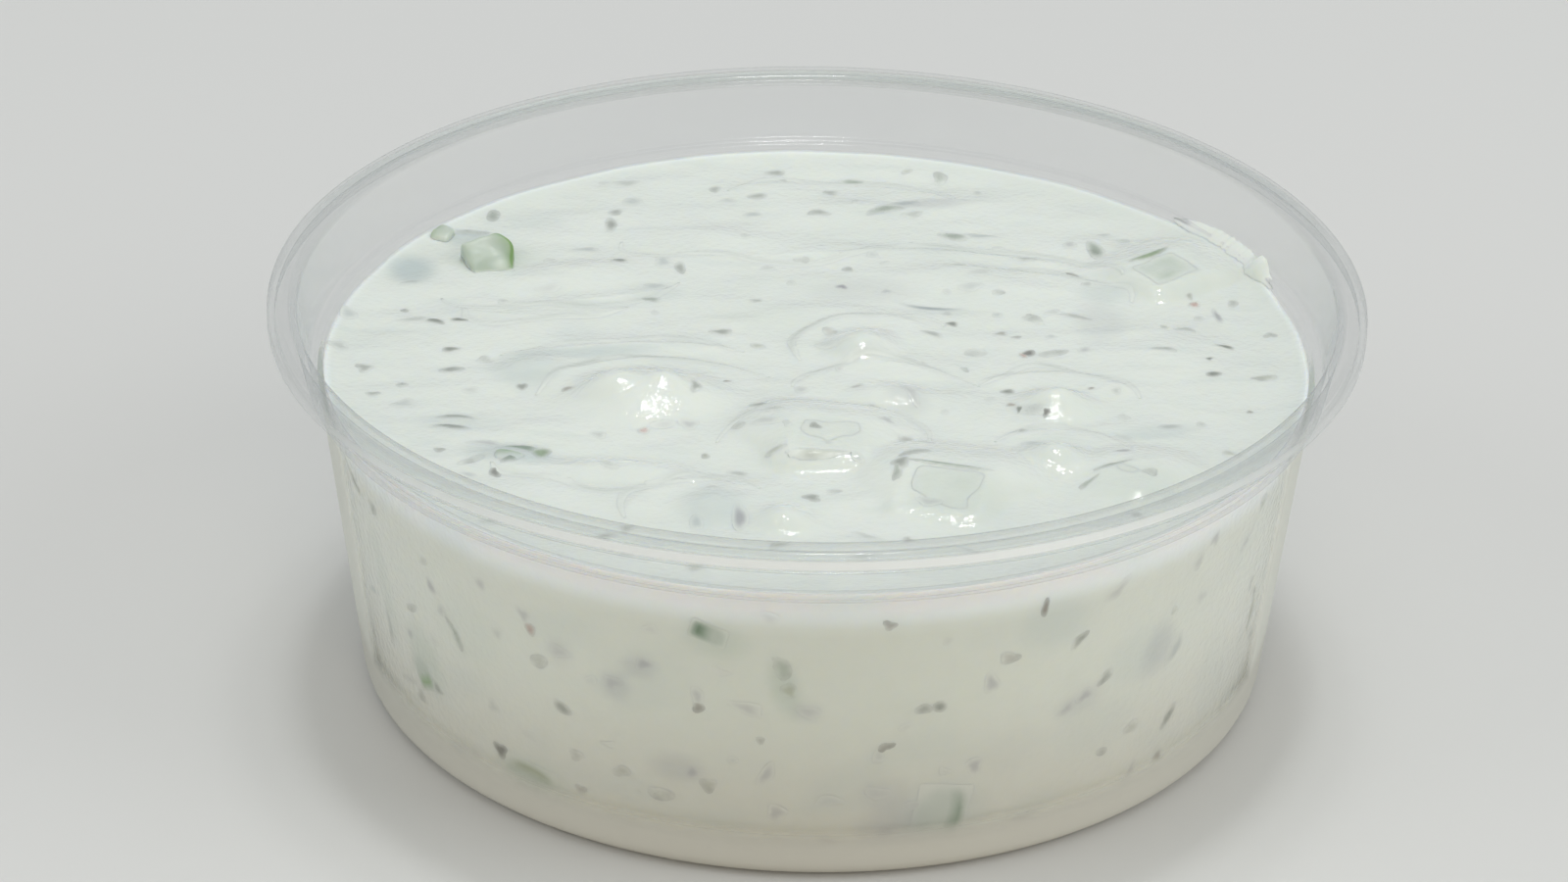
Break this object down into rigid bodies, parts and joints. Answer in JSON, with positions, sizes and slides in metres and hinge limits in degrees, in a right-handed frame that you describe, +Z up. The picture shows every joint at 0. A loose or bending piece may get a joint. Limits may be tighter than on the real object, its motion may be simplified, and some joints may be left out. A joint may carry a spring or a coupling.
{
  "type": "tzatziki dip in a clear deli cup",
  "caption": "Shallow round clear plastic deli cup with a turned-out lip, filled nearly to its shelf with thick white tzatziki: yogurt with chopped cucumber and herb flecks.",
  "frame": {"origin": "centre of the ring that the cup stands on, at the bottom of the bounding box", "axes": "+Z up out of the cup's mouth, -Y towards the front, +X to the right seen from the front"},
  "size_m": [0.117, 0.117, 0.0434],
  "materials": {
    "clear_plastic": "gloss, clear",
    "yogurt": "smooth, wet, slightly shiny",
    "cucumber": "wet, slightly see-through"
  },
  "bodies": {
    "root": {"cup": "clear_plastic", "dip": "yogurt", "cucumber_front": "cucumber", "cucumber_middle": "cucumber", "cucumber_edge": "cucumber", "cucumber_right": "cucumber", "cucumber_back_left": "cucumber", "cucumber_wall_low_right": "cucumber", "cucumber_wall_top": "cucumber", "cucumber_wall_low_left": "cucumber", "cucumber_wall_left": "cucumber"}
  },
  "joints": []
}
